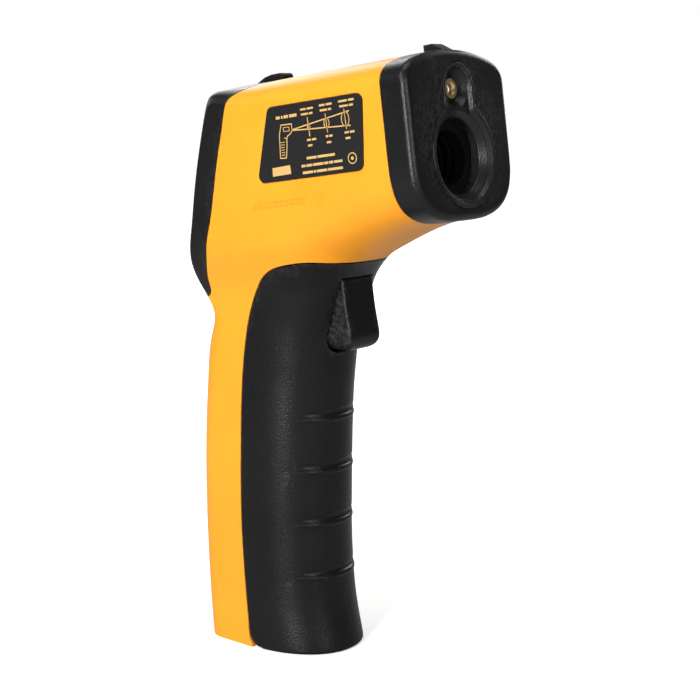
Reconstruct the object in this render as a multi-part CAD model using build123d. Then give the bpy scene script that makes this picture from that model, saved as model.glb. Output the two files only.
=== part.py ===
from build123d import *
import math
import os
import numpy as np

# Pistol-grip infrared thermometer with a laser, rear display, three keys, a trigger and a
# battery door that forms the front of the grip.
# X points forward to the nose, Y to the product's left, Z up; the grip stands on Z = 0.
# The barrel frame has x forward along the aperture axis and "up" square to it, with its
# origin at the aperture centre on the nose face. Lengths are in millimetres.

os.makedirs("parts", exist_ok=True)
parts = {}

# ---------------------------------------------------------------- driving dimensions
PITCH = 8.0                       # degrees the barrel points above the base plane
NOSE_X, NOSE_Z = 55.3, 133.3      # aperture centre on the nose face
HALF_W = 20.75                    # half width of the barrel housing
HANDLE_HALF_W = 16.0              # half width of the handle
WALL = 2.2                        # moulded wall thickness
CAP_DEPTH = 7.4                   # nose cap depth along the barrel
GAP = 0.1                         # half of the parting gap between fixed mouldings
DOOR_GAP = 0.15                   # half of the gap round the battery door
TOP_U = 25.5                      # barrel top above the aperture axis
BOT_U = -15.6                     # barrel underside at the nose
APERTURE_R = 9.2
BORE_R = 6.7
TUBE_R = 9.6                      # outside of the lens tube
LASER_U = 16.2                    # laser axis above the aperture axis
LASER_R = 3.25                    # laser module body
HINGE = (2.2, 4.8)                # battery door hinge axis, X and Z
TRIGGER_PIVOT = (15.8, 99.5)      # trigger axis, X and Z
RIDGES = (63.5, 49.4, 35.0, 20.5)   # finger ridge heights on the grip
CELL_R, CELL_L = 5.15, 43.4       # AAA cell body
SCREW_R = 1.1
SIDE = 40                         # cutting half width, clear of the whole body

COS, SIN = math.cos(math.radians(PITCH)), math.sin(math.radians(PITCH))


def barrel_point(x, up):
    """Barrel frame to X, Z."""
    return (NOSE_X + x * COS - up * SIN, NOSE_Z + x * SIN + up * COS)


def to_barrel(x, z):
    dx, dz = x - NOSE_X, z - NOSE_Z
    return dx * COS + dz * SIN, -dx * SIN + dz * COS


NOSE = (NOSE_X, 0, NOSE_Z)
BARREL = Plane(origin=NOSE, x_dir=(COS, 0, SIN), z_dir=(-SIN, 0, COS))
# nose face: local x to the left side, local y up the face, local z forward
NOSE_FACE = Plane(origin=NOSE, x_dir=(0, 1, 0), z_dir=(COS, 0, SIN))
# side view of the barrel: local x along it, local y up, local z to the right side
BARREL_SIDE = Plane(origin=NOSE, x_dir=(COS, 0, SIN), z_dir=(0, -1, 0))
# back face: local x to the right side, local y up the face, local z out of the back
BACK_X, BACK_Z = -17.1, 126.0
RISE_X, RISE_Z = 0.168, 0.9858    # direction up the back face
BACK = Plane(origin=(BACK_X, 0, BACK_Z), x_dir=(0, -1, 0), z_dir=(-RISE_Z, 0, RISE_X))


def back_point(up, out):
    """Back face frame to X, Z."""
    return (BACK_X + up * RISE_X - out * RISE_Z, BACK_Z + up * RISE_Z + out * RISE_X)


# ---------------------------------------------------------------- housing form
# back point (X, Z), front point (X, Z), back crown depth, back corner depth and width,
# depth of the rounded front, exponent of the front's superellipse
STATIONS = [
    (barrel_point(4, TOP_U), barrel_point(4, BOT_U), 2.2, 5.6, 5.4, 17.0, 3.0),
    (barrel_point(-2, TOP_U), barrel_point(-2, BOT_U), 2.2, 5.6, 5.4, 17.0, 3.0),
    (barrel_point(-8, TOP_U), (48.9, 116.4), 2.2, 5.6, 5.4, 17.0, 3.0),
    (barrel_point(-14, TOP_U), (42.4, 114.2), 2.2, 5.6, 5.4, 17.0, 2.95),
    (barrel_point(-21, TOP_U), (36.4, 111.4), 2.2, 5.6, 5.4, 17.2, 2.85),
    (barrel_point(-29, TOP_U), (31.2, 108.6), 2.2, 5.6, 5.4, 17.6, 2.8),
    (barrel_point(-38, TOP_U), (26.8, 105.9), 2.2, 5.5, 5.2, 18.0, 2.7),
    (barrel_point(-47, TOP_U), (24.1, 103.1), 2.2, 5.6, 5.0, 18.4, 2.65),
    (barrel_point(-55, TOP_U), (22.6, 100.7), 2.1, 5.4, 4.6, 18.8, 2.6),
    ((-9.2, 149.9), (21.8, 98.7), 1.6, 4.8, 3.8, 19.0, 2.55),
    ((-12.4, 148.2), (21.3, 97.3), 0.9, 3.6, 2.8, 19.0, 2.53),
    ((-13.4, 144.6), (20.8, 95.6), 0.35, 2.6, 2.2, 19.1, 2.5),
    ((-14.6, 138.5), (20.2, 93.5), 0.1, 2.1, 1.9, 19.3, 2.45),
    ((-16.3, 130.5), (19.6, 91.1), 0.05, 1.9, 1.8, 19.6, 2.4),
    ((-17.8, 122), (19.0, 88.6), 0.05, 1.9, 1.8, 19.8, 2.35),
    ((-19.1, 113.5), (18.4, 86.0), 0.1, 2.0, 1.9, 20.0, 2.3),
    ((-20.7, 105.5), (18.0, 83.2), 0.25, 2.7, 2.5, 20.2, 2.25),
    ((-21.1, 99.0), (17.7, 80.0), 0.5, 4.4, 4.2, 20.2, 2.2),
    ((-18.8, 91.8), (17.5, 76.6), 0.7, 7.8, 7.6, 20.1, 2.15),
    ((-20.4, 84), (17.3, 73.0), 0.8, 8.0, 7.8, 19.9, 2.1),
    ((-22.0, 75), (17.0, 68.0), 0.8, 8.4, 8.2, 19.6, 2.06),
    ((-22.9, 65), (16.8, 60.8), 0.8, 8.5, 8.4, 19.3, 2.03),
    ((-23.5, 54.5), (16.6, 52.0), 0.8, 8.5, 8.5, 19.2, 2.02),
    ((-23.7, 43.5), (16.5, 42.2), 0.8, 8.5, 8.5, 19.2, 2.02),
    ((-23.5, 32.5), (16.5, 32.0), 0.8, 8.4, 8.4, 19.3, 2.02),
    ((-23.0, 22), (17.0, 21.8), 0.8, 8.2, 8.2, 19.6, 2.03),
    ((-22.3, 12), (18.1, 12.0), 0.8, 8.0, 8.0, 20.2, 2.05),
    ((-21.6, 5), (19.6, 5.0), 0.8, 7.8, 7.8, 21.0, 2.08),
    ((-21.0, 0), (20.7, 0.0), 0.8, 7.6, 7.6, 21.6, 2.1),
]
STATIONS = np.array([(*back, *front, *rest) for back, front, *rest in STATIONS])


def smooth_step(t):
    t = np.clip(t, 0, 1)
    return t * t * (3 - 2 * t)


def half_width(x, z, inset=0.0):
    """Half width at a side-view point: handle, flare and barrel, with the rear taper."""
    along, up = to_barrel(x, z)
    width = HANDLE_HALF_W + (HALF_W - HANDLE_HALF_W) * smooth_step((up + 30.0) / 15.5)
    behind = (along + 50.6) * (-0.9377) + (up - 20.1) * 0.3475   # distance past the taper line
    softness = 0.8                                               # blends the taper's start
    taper = np.log1p(np.exp(np.clip(behind / softness, -30, 30))) * softness
    return float(width - 0.085 * taper * smooth_step((up + 34) / 14) - inset)


def station_outline(row, inset):
    """Right half of one station, from the back point round to the front point."""
    back_x, back_z, front_x, front_z, crown, corner_d, corner_w, front_d, exponent = row
    length = math.hypot(front_x - back_x, front_z - back_z)
    dx, dz = (front_x - back_x) / length, (front_z - back_z) / length
    back_x, back_z = back_x + dx * inset, back_z + dz * inset
    front_x, front_z = front_x - dx * inset, front_z - dz * inset
    length -= 2 * inset
    corner_d, corner_w = max(corner_d - inset, 1.2), max(corner_w - inset, 1.2)
    front_d -= inset
    width = half_width((back_x + front_x) / 2, (back_z + front_z) / 2, inset)
    points = []

    def add(depth, fraction):
        x, z = back_x + dx * depth, back_z + dz * depth
        points.append((x, -fraction * half_width(x, z, inset), z))

    flat = 1 - corner_w / width
    for i in range(5):                       # crowned back
        a = i / 5
        add(crown * a * a, a * flat)
    p0, p3 = np.array([crown, flat]), np.array([crown + corner_d, 1.0])
    p1 = p0 + 0.55 * (1 - flat) * np.array([2 * crown / flat, 1.0])
    p2 = p3 - np.array([0.55 * corner_d, 0])
    for i in range(6):                       # Bezier corner
        a = i / 6
        b = 1 - a
        add(*(p0 * b**3 + 3 * p1 * a * b**2 + 3 * p2 * a * a * b + p3 * a**3))
    side_start, side_end = crown + corner_d, length - front_d
    for i in range(8):                       # side
        add(side_start + (side_end - side_start) * i / 7, 1.0)
    for i in range(1, 11):                   # rounded front
        angle = math.radians(90 * i / 11)
        add(side_end + front_d * math.sin(angle) ** (2 / exponent),
            math.cos(angle) ** (2 / exponent))
    add(length, 0.0)
    return points


def housing(inset=0.0):
    """The whole outer form, inset all round, as one smooth loft."""
    wires = []
    for row in STATIONS:
        points = station_outline(row, inset)
        knots = [i / (len(points) - 1) for i in range(len(points))]
        right = [Vector(*p) for p in points]
        left = [Vector(x, -y, z) for x, y, z in points[::-1]]
        wires.append(Wire([Edge.make_spline(half, parameters=knots) for half in (right, left)]))
    return Part() + Solid.make_loft(wires, ruled=False)


# ---------------------------------------------------------------- helpers
def box(x0, x1, y0, y1, z0, z1):
    return Pos((x0 + x1) / 2, (y0 + y1) / 2, (z0 + z1) / 2) * Box(x1 - x0, y1 - y0, z1 - z0)


def barrel_box(*limits):
    return BARREL.location * box(*limits)


def barrel_slice(x0, x1):
    """Block across the whole barrel."""
    return barrel_box(x0, x1, -SIDE, SIDE, -60, 60)


def barrel_cyl(radius, x0, x1, up=0.0, y=0.0):
    place = BARREL.location * Pos((x0 + x1) / 2, y, up) * Rot(0, 90, 0)
    return place * Cylinder(radius, x1 - x0)


def barrel_cone(rear_r, front_r, x0, x1, up=0.0):
    place = BARREL.location * Pos((x0 + x1) / 2, 0, up) * Rot(0, 90, 0)
    return place * Cone(rear_r, front_r, x1 - x0)


def cross_cyl(x, z, radius, y0, y1):
    """Cylinder along Y."""
    return Pos(x, (y0 + y1) / 2, z) * Rot(90, 0, 0) * Cylinder(radius, abs(y1 - y0))


def prism(points, y0, y1, curved=0):
    """Side-view outline extruded from y0 to y1; its first `curved` points lie on a spline."""
    plane = Plane(origin=(0, y1, 0), x_dir=(1, 0, 0), z_dir=(0, -1, 0))
    corners = [Vector(x, z, 0) for x, z in points]
    if curved:
        edges = [Edge.make_spline(corners[:curved])]
        rest = corners[curved - 1:] + corners[:1]
        edges += [Edge.make_line(a, b) for a, b in zip(rest, rest[1:])]
        face = Face(Wire(edges))
    else:
        face = Face(Wire.make_polygon(corners, close=True))
    return Part() + extrude(plane.location * face, amount=y1 - y0, dir=(0, -1, 0))


def slab(plane, sketch, start, end, direction=None):
    """Sketch on a plane, extruded between two heights above it."""
    solid = extrude(sketch, amount=end - start, dir=direction)
    return Part() + plane.location * (Pos(0, 0, start) * solid)


def back_pad(right, up, width, height, radius, start, end):
    """Rounded block on the back face."""
    return slab(BACK, Pos(right, up) * RectangleRounded(width, height, radius), start, end)


def back_bar(right, up, width, height, start, end):
    return slab(BACK, Pos(right, up) * Rectangle(width, height), start, end)


def back_disc(right, up, radius, start, end):
    return slab(BACK, Pos(right, up) * Circle(radius), start, end)


def front_window(half, z0, z1, radius, x0, x1):
    """Round-bottomed window seen from the front, extruded along X."""
    sketch = Rectangle(2 * half, z1 - z0)
    sketch = fillet(sketch.vertices().sort_by(Axis.Y)[:2], radius)
    plane = Plane(origin=(x0, 0, (z0 + z1) / 2), x_dir=(0, 1, 0), z_dir=(1, 0, 0))
    return slab(plane, sketch, 0, x1 - x0, (0, 0, 1))


def shift(points, distance):
    """Move an open outline sideways (positive is to the left of its travel)."""
    points = np.array(points, float)
    along = np.gradient(points, axis=0)
    along /= np.linalg.norm(along, axis=1)[:, None]
    moved = points + distance * np.stack([-along[:, 1], along[:, 0]], 1)
    return [(float(x), float(z)) for x, z in moved]


def soft_fillet(shape, edges, radii):
    """Fillet with the first radius that gives a valid solid, or leave the edges sharp."""
    for radius in radii:
        try:   # guards against a radius the kernel cannot fit
            rounded = fillet(edges, radius)
            if rounded.is_valid and rounded.volume > 0:
                return rounded
        except Exception:
            pass
    return shape


def tube(points, radius):
    path = Edge.make_spline([Vector(*p) for p in points])
    plane = Plane(origin=path.position_at(0), z_dir=path.tangent_at(0))
    return Part() + sweep(plane.location * Circle(radius), path=Wire([path]))


def wiring(path, offsets, radius):
    """Parallel wires along one side-view path, one at each Y offset."""
    return Part() + [tube([(x, y, z) for x, z in path], radius) for y in offsets]


def coil(radius, wire_r, pitch, height):
    helix = Helix(pitch=pitch, height=height, radius=radius)
    plane = Plane(origin=helix @ 0, z_dir=helix % 0)
    return Part() + sweep(plane.location * Circle(wire_r), path=helix, is_frenet=True)


def lens(back_x, front_x, mid, rim, up=0.0):
    """Turned lens with a flat back; its domed front passes through mid and rim (x, radius)."""
    back, front, mid, edge = (Vector(*p, 0) for p in ((back_x, 0), (front_x, 0), mid, rim))
    corner = Vector(back_x, rim[1], 0)
    outline = [Edge.make_line(back, front), Edge.make_three_point_arc(front, mid, edge),
               Edge.make_line(edge, corner), Edge.make_line(corner, back)]
    solid = revolve(Face(Wire(outline)), axis=Axis.X)
    return Part() + BARREL.location * Pos(0, 0, up) * solid


outer = housing()
cavity = housing(WALL) & box(-60, 90, -SIDE, SIDE, WALL, 200)

# ---------------------------------------------------------------- parting lines (X, Z)
GRIP_SEAM = [
    (60, 107.6), (44, 107.2), (36, 106.4), (30.2, 105.7), (25.5, 105.7), (21.6, 105.9),
    (18.2, 105.9), (15, 105.4), (11.5, 104.6), (8.0, 103.3), (5.0, 101.3), (2.6, 98.7),
    (0.9, 95.8), (-0.4, 92.6), (-1.4, 89.2), (-2.2, 85.4), (-3.0, 80.5), (-3.8, 73.3),
    (-4.3, 65.2), (-4.65, 53), (-4.8, 41), (-4.6, 32.2), (-4.1, 23.9), (-3.4, 15.6),
    (-2.85, 10.1), (-2.5, 6.6)]
REAR_SEAM = [
    (3.4, 170), (2.2, 156), (1.3, 151.4), (0.2, 149.4), (-1.9, 148.0), (-3.7, 146.5),
    (-4.8, 144.3), (-6.0, 138.6), (-7.2, 133.5), (-8.3, 127.8), (-9.3, 121.8),
    (-10.5, 115.3), (-11.8, 109.6), (-12.7, 106), (-13.5, 103.3), (-14.2, 101.0),
    (-14.5, 98.9), (-14.4, 97.1), (-14.7, 95.6), (-16.0, 94.5), (-19.0, 93.6), (-30, 92.4)]
# points that close each outline; the first two pass under the hinge
DOOR_FOOT = [(-2.15, 4.8), (-1.95, 3.4), (-1.3, 2.2), (-0.3, 1.2), (0.9, 0.65), (2.2, 0.45),
             (2.6, -5), (60, -5)]
SHELL_FOOT = [(-2.6, 4.6), (-2.35, 2.4), (-1.8, 1.5), (-1.4, 0.9), (-1.2, 0.3), (-1.15, -5),
              (60, -5)]
REAR_CLOSE = [(-60, 92.4), (-60, 170)]


def seam_region(seam, distance, closing):
    return prism(shift(seam, distance) + closing, -SIDE, SIDE, curved=len(seam))


door_region = seam_region(GRIP_SEAM, DOOR_GAP, DOOR_FOOT)
door_cut = seam_region(GRIP_SEAM, -DOOR_GAP, SHELL_FOOT)
rear_region = seam_region(REAR_SEAM, -GAP, REAR_CLOSE)
rear_cut = seam_region(REAR_SEAM, GAP, REAR_CLOSE)

# ---------------------------------------------------------------- nose cap with front sight
cap = outer & barrel_slice(-CAP_DEPTH, 0)
front_rim = [e for e in cap.edges() if abs(to_barrel(e.center().X, e.center().Z)[0]) < 0.05]
cap = soft_fillet(cap, front_rim, [1.9, 2.2, 1.6, 1.2, 0.8])
SIGHT_TRIM = [(-5.4, TOP_U + 1.9), (-5.0, TOP_U + 1.85), (-1.6, TOP_U - 0.2),
              (0.5, TOP_U - 1.2), (0.5, TOP_U + 4), (-5.4, TOP_U + 4)]   # barrel x, up
cap = cap + barrel_box(-CAP_DEPTH, -1.2, -2.1, 2.1, 23.5, TOP_U + 1.75)
cap = cap - BARREL.location * prism(SIGHT_TRIM, -5, 5)
# spigot inside the shell, then the hollow
cap = cap + (housing(WALL + 0.12) & barrel_slice(-11.2, -5.0))
cap = cap - (housing(WALL + 1.4) & barrel_slice(-60, -2.7))


def keyhole(big, small):
    """Large circle joined to a small one above it by a straight neck."""
    center_up = 15.9
    sketch = Circle(big) + Pos(0, center_up) * Circle(small)
    sketch = sketch + Pos(0, 8) * Rectangle(2 * small - 0.2, 15.8)
    neck = [v for v in sketch.vertices() if 5 < v.Y < big + 1.5]
    try:   # the neck corners stay sharp where the fillet does not fit
        return fillet(neck, 1.6)
    except Exception:
        return sketch


parts["nose_cap"] = cap - slab(NOSE_FACE, keyhole(12.9, 6.35), -6, 5)

# ---------------------------------------------------------------- optic bezel
MOUTH_X = -2.15                   # back of the flared mouth
bezel = slab(NOSE_FACE, keyhole(12.8, 6.25), -3.4, 0.25)
bezel_core = housing(WALL + 1.65)
bezel = bezel & (barrel_box(-2.65, 1, -SIDE, SIDE, -40, 60) + bezel_core)
bezel = bezel + (slab(NOSE_FACE, keyhole(14.4, 7.6), -4.6, -2.85) & bezel_core)
well = loft([keyhole(10.9, 4.9).face(), (Pos(0, 0, 1.05) * keyhole(11.8, 5.5)).face()])
bezel = bezel - NOSE_FACE.location * (Pos(0, 0, -0.75) * well)
bezel = bezel - barrel_cyl(APERTURE_R, -8, 2) - barrel_cone(APERTURE_R, 11.65, MOUTH_X, 0.15)
bezel = bezel - barrel_cone(2.95, 5.0, -3.2, -0.5, LASER_U) - barrel_cyl(2.5, -8, 2, LASER_U)
mouth_edge = [
    e for e in bezel.edges().filter_by(GeomType.CIRCLE)
    if abs(e.radius - APERTURE_R) < 0.01
    and abs(to_barrel(e.center().X, e.center().Z)[0] - MOUTH_X) < 0.1]
parts["optic_bezel"] = soft_fillet(bezel, mouth_edge, [0.5, 0.3])

# ---------------------------------------------------------------- optics
TUBE_BACK = -34.0
SENSOR_SCREWS = ((7.0, 9.9), (-7.0, -9.9))   # up, y
lens_tube = barrel_cyl(TUBE_R, TUBE_BACK, -4.75)
lens_tube = lens_tube + barrel_box(TUBE_BACK, -32.0, -12, 12, -9.0, 9.0)
lens_tube = lens_tube - barrel_cyl(BORE_R, -20.4, 0) - barrel_cyl(7.2, -40, -20.3)
for i in range(4):                # grooves in the bore
    lens_tube = lens_tube - barrel_cyl(BORE_R + 0.45, -9.2 - 2.6 * i, -8.0 - 2.6 * i)
sensor_board = barrel_box(-35.7, -34.1, -12, 12, -9.0, 9.0)
for up, y in SENSOR_SCREWS:
    lens_tube = lens_tube - barrel_cyl(0.75, -40, -31, up, y)
    sensor_board = sensor_board - barrel_cyl(1.1, -40, -30, up, y)
parts["lens_tube"] = lens_tube
parts["sensor_board"] = sensor_board
parts["sensor_screws"] = Part() + [
    barrel_cyl(0.72, -35.75, -31.6, up, y) + barrel_cyl(1.5, -36.6, -35.72, up, y)
    - barrel_box(-37, -36.2, y - 1.6, y + 1.6, up - 0.2, up + 0.2)
    for up, y in SENSOR_SCREWS]
parts["ir_lens"] = lens(-23.0, -20.35, (-20.5, 3.8), (-21.3, 7.1))
parts["lens_retainer"] = (barrel_cyl(7.12, -25.4, -23.1) - barrel_cyl(5.9, -30, -20)
                          - barrel_box(-25.5, -24.6, -8, 8, -0.7, 0.7))
parts["thermopile_sensor"] = (barrel_cyl(4.6, TUBE_BACK, -33.2) + barrel_cyl(4.15, -33.3, -30.0)
                              - barrel_cyl(1.6, -30.4, -29))
laser = barrel_cyl(2.45, -6.0, -2.1, LASER_U) + barrel_cyl(LASER_R, -18.0, -4.75, LASER_U)
laser = laser - barrel_cyl(1.4, -5.2, 0, LASER_U)
parts["laser_module"] = laser - barrel_cone(1.4, 1.95, -2.5, -1.7, LASER_U)
parts["laser_lens"] = lens(-5.1, -3.0, (-3.15, 0.75), (-3.6, 1.35), LASER_U)

# ---------------------------------------------------------------- body shell halves
shell = (outer - cavity) & barrel_box(-120, -CAP_DEPTH - 2 * GAP, -60, 60, -160, 60)
shell = shell - rear_cut - door_cut
rib_zone = (barrel_box(-31.0, -29.0, -SIDE, SIDE, -13.0, 40)
            + barrel_box(-14.6, -12.8, -SIDE, SIDE, -12.0, 40))
rib_form = housing(WALL - 0.4)
ribs = (rib_form & rib_zone) - barrel_cyl(TUBE_R + 0.15, -60, 0)
ribs = ribs - barrel_cyl(LASER_R + 0.15, -60, 0, LASER_U)
ribs = ribs - barrel_box(-60, 0, -3.2, 3.2, 9, 16)
ribs = ribs - barrel_box(-15, -12, -2.2, 2.2, 18, 24)
# screw axis (X, Z) and the Y of the head seat in the left half
BOSSES = [(barrel_point(-23.5, 20.2), 14.0), (barrel_point(-39.5, -14.6), 13.0),
          ((-15.6, 82.0), 9.5), ((-16.4, 17.5), 9.5)]
posts = Part()
post_form = housing(WALL - 0.5)
for (x, z), seat in BOSSES:
    posts = posts + (cross_cyl(x, z, 2.75, -30, 30) & post_form)
back_wall = rib_form & box(-12.4, -10.8, -SIDE, SIDE, WALL, 88)
back_wall = back_wall - box(-13, -10, -4.6, 4.6, 60, 90)
shell = shell + ribs + posts + back_wall - door_cut

# label corner (barrel x, up) and its outward direction
LABEL = [(-48.9, -1.1, -1, -1), (-14.8, -1.2, 1, -1), (-12.8, 16.9, 1, 1), (-42.9, 17.2, -1, 1)]
LABEL_FLOOR = HALF_W - 0.15


def label(outer_y, grow=0.0):
    """Right side label, from its floor out to outer_y, enlarged all round by grow."""
    corners = [(x + grow * out_x, up + grow * out_up) for x, up, out_x, out_up in LABEL]
    sketch = Polygon(*corners, align=None)
    sketch = fillet(sketch.vertices(), 1.9)
    return slab(BARREL_SIDE, sketch, LABEL_FLOOR, outer_y, (0, 0, 1))


pocket = label(22, grow=0.12)
right_half = (shell & box(-60, 90, -60, -0.02, -10, 200)) - pocket
left_half = (shell & box(-60, 90, 0.02, 60, -10, 200)) - mirror(pocket, about=Plane.XZ)
screws = Part()
for (x, z), seat in BOSSES:
    left_half = left_half - cross_cyl(x, z, 1.25, -1, 30) - cross_cyl(x, z, 2.35, seat, 30)
    right_half = right_half - cross_cyl(x, z, SCREW_R + 0.04, -8.0, 1)
    screw = cross_cyl(x, z, SCREW_R, -7.6, seat + 0.2)
    screw = screw + cross_cyl(x, z, 2.1, seat + 0.02, seat + 1.5)
    for half_x, half_z in ((0.25, 1.4), (1.4, 0.25)):   # cross recess
        screw = screw - box(x - half_x, x + half_x, seat + 0.9, seat + 2, z - half_z, z + half_z)
    screws = screws + screw
parts["body_shell_right"] = right_half
parts["body_shell_left"] = left_half
parts["case_screws"] = screws
parts["side_label_right"] = label(HALF_W + 0.2)
parts["side_label_left"] = mirror(label(HALF_W + 0.2), about=Plane.XZ)

# ---------------------------------------------------------------- rear bezel, display and keys
WINDOW_UP, KEY_UP = 7.6, -10.6    # centres up the back face
WINDOW_W, WINDOW_H = 30.0, 23.0
KEY_W, KEY_H = 7.2, 5.0
KEYS = {"button_left": -9.9, "button_center": 0.0, "button_right": 9.9}
BOARD_SCREWS = ((12.5, -20.6), (-12.5, -20.6))
REAR_SIGHT = [(-63.2, 24.2), (-62.6, TOP_U + 0.1), (-59.4, TOP_U + 1.5), (-56.9, TOP_U + 1.95),
              (-53.9, TOP_U + 1.95), (-53.4, TOP_U + 1.4), (-53.3, 24.2)]   # barrel x, up

rear = outer & rear_region
rear = rear + (BARREL.location * prism(REAR_SIGHT, -2.3, 2.3) - cavity)
rear = rear - cavity
rear = rear - back_pad(0, WINDOW_UP, WINDOW_W + 0.2, WINDOW_H + 0.2, 2.1, -1.65, 5)
rear = rear - back_pad(0, WINDOW_UP, 27.0, 20.0, 1.2, -8, 5)
for right in KEYS.values():
    rear = rear - back_pad(right, KEY_UP, KEY_W + 0.3, KEY_H + 0.3, 1.6, -8, 5)

parts["display_window"] = back_pad(0, WINDOW_UP, WINDOW_W, WINDOW_H, 2.0, -1.62, -0.62)
parts["lcd_module"] = (back_pad(0, WINDOW_UP, 29.0, 22.2, 0.4, -4.9, -3.2)
                       + back_pad(0, WINDOW_UP + 0.9, 28.6, 20.0, 0.4, -3.2, -2.6))
parts["lcd_backlight"] = back_pad(0, WINDOW_UP, 28.6, 21.6, 0.5, -6.35, -4.95)
parts["contact_strip"] = back_bar(0, -4.7, 26, 1.4, -6.35, -3.4)
for name, right in KEYS.items():
    key = back_pad(right, KEY_UP, KEY_W, KEY_H, 1.45, -4.05, 0.75)
    top_edges = [e for e in key.edges() if BACK.to_local_coords(e.center()).Z > 0.7]
    key = soft_fillet(key, top_edges, [0.55, 0.35])
    parts[name] = key + back_pad(right, KEY_UP, 9.0, 6.6, 1.8, -3.6, -2.75)   # flange
parts["key_switches"] = Part() + [
    back_pad(right, KEY_UP, 5.2, 5.2, 0.3, -6.38, -5.2)
    + back_disc(right, KEY_UP, 1.2, -5.2, -4.75)
    for right in KEYS.values()]

board = back_pad(0, -1.6, 31.0, 44.0, 1.0, -8.0, -6.4) & housing(WALL + 0.3)
bosses = Part()
boss_form = housing(WALL - 0.6)
for spot in BOARD_SCREWS:
    board = board - back_disc(*spot, 1.15, -12, 0)
    bosses = bosses + (back_disc(*spot, 2.3, -6.35, 0) & boss_form)
    bosses = bosses - back_disc(*spot, 0.85, -6.6, -2.6)
parts["main_board"] = board
parts["rear_bezel"] = rear + (bosses & rear_region)
parts["board_screws"] = Part() + [
    back_disc(*spot, 0.82, -8.05, -3.0) + back_disc(*spot, 1.9, -9.2, -8.03)
    - back_bar(*spot, 0.5, 2.6, -9.5, -8.8)
    for spot in BOARD_SCREWS]
MOUNT = -8.02                     # inner face of the board, where its components start
parts["board_components"] = Part() + [
    back_bar(4.5, 1.0, 9, 9, -9.5, MOUNT), back_bar(-9.0, -3.0, 5.0, 6.2, -9.6, MOUNT),
    back_pad(-8.5, 10.5, 8.0, 3.2, 1.5, -11.2, MOUNT),
    back_disc(10.5, -12.0, 2.4, -12.0, MOUNT),
    back_bar(-2.0, -14.5, 3.2, 1.6, -8.9, MOUNT)]


# ---------------------------------------------------------------- battery door (front grip)
def grip_line(z, deep, deep_end, end_y, count=15):
    """Points across the front of the grip, below its surface by deep (deep_end at the ends)."""
    rows = STATIONS[np.argsort(STATIONS[:, 3])]
    front_x, front_d, exponent = (float(np.interp(z, rows[:, 3], rows[:, k])) for k in (2, 7, 8))
    points = []
    for i in range(count):
        t = -1 + 2 * i / (count - 1)
        y = end_y * t
        width = half_width(front_x - 8, z)
        reach = (1 - (abs(y) / width) ** exponent) ** (1 / exponent)
        x = front_x - front_d + front_d * reach
        normal_x = reach ** (exponent - 1) / front_d
        normal_y = math.copysign((abs(y) / width) ** (exponent - 1) / width, y)
        size = math.hypot(normal_x, normal_y)
        d = deep + (deep_end - deep) * abs(t) ** 2.6
        points.append((x - normal_x / size * d, y - normal_y / size * d, z))
    return points


door = (outer - cavity) & door_region
door = door - front_window(6.4, 81.2, 101.4, 4.4, 5, 60)   # trigger opening
door = door - box(-10, -0.4, -13.7, 13.7, -1, 90)
foot_edges = [e for e in door.edges()
              if e.center().Z < 0.02 and e.center().X > 3.2 and e.bounding_box().max.X > 12]
door = soft_fillet(door, foot_edges, [0.9, 0.6, 0.4])
for z in RIDGES:                  # groove above each ridge
    door = door - tube(grip_line(z + 1.75, -1.08, -1.62, 12.6), 1.5)
for z in RIDGES:
    door = door + tube(grip_line(z, 0.6, 1.12, 12.9), 1.0)
for side in (-1, 1):
    door = door + cross_cyl(*HINGE, 1.5, side * 11.7, side * 14.4)
parts["battery_door"] = door

# ---------------------------------------------------------------- battery tray and contacts
CELL_X, CELL_Y = 0.6, 5.75        # cell axes; the right cell points up, the left one down
HINGE_EAR = [(0.2, 9.8), (0.2, 3.9), (1.0, 2.9), (2.2, 2.55), (3.4, 2.9), (4.2, 3.9), (4.2, 9.8)]
tray = box(-8.2, 8.2, -13.1, 13.1, 9.4, 66.0) - box(-6.8, 9, -11.7, 11.7, 11.0, 64.4)
tray = tray + box(-6.8, 2.0, -0.3, 0.3, 16.5, 59.0)   # divider
tray = tray & housing(WALL + 0.4)
for z in (30.0, 52.0):            # rear ribs
    tray = tray + box(-10.78, -8.0, -12.0, 12.0, z, z + 1.6)
for side in (-1, 1):
    tray = tray + prism(HINGE_EAR, side * 12.35 - 0.75, side * 12.35 + 0.75)
    tray = tray - cross_cyl(*HINGE, 1.56, side * 11, side * 14)
for y in (-6.0, 6.0):             # slots through the bottom and top
    tray = tray - box(-3, 3, y - 0.9, y + 0.9, 9, 11.2) - box(-3, 3, y - 0.9, y + 0.9, 64, 67)
parts["battery_tray"] = tray


def cell(y, bottom, nub_z):
    body = Pos(CELL_X, y, bottom + CELL_L / 2) * Cylinder(CELL_R, CELL_L)
    return body + Pos(CELL_X, y, nub_z) * Cylinder(1.9, 1.0)


def contact(half, y, half_y, z0, z1):
    """Plate centred on the cell axes in X."""
    return box(CELL_X - half, CELL_X + half, y - half_y, y + half_y, z0, z1)


parts["battery_cells"] = Part() + [cell(-CELL_Y, 15.2, 15.2 + CELL_L + 0.5),
                                   cell(CELL_Y, 16.6, 16.6 - 0.5)]
parts["battery_bridge"] = contact(4, 0, 9.6, 11.05, 11.5) + contact(1.6, CELL_Y, 1.6, 11.5, 15.5)
parts["battery_contacts"] = Part() + [
    contact(4, y, 3.9, 63.9, 64.35) for y in (-CELL_Y, CELL_Y)
] + contact(1.6, -CELL_Y, 1.6, 59.7, 63.9)
parts["battery_springs"] = Part() + [
    Pos(CELL_X, -CELL_Y, 11.95) * coil(2.6, 0.32, 1.35, 2.7),
    Pos(CELL_X, CELL_Y, 60.45) * coil(2.6, 0.32, 1.45, 3.0)]

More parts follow.
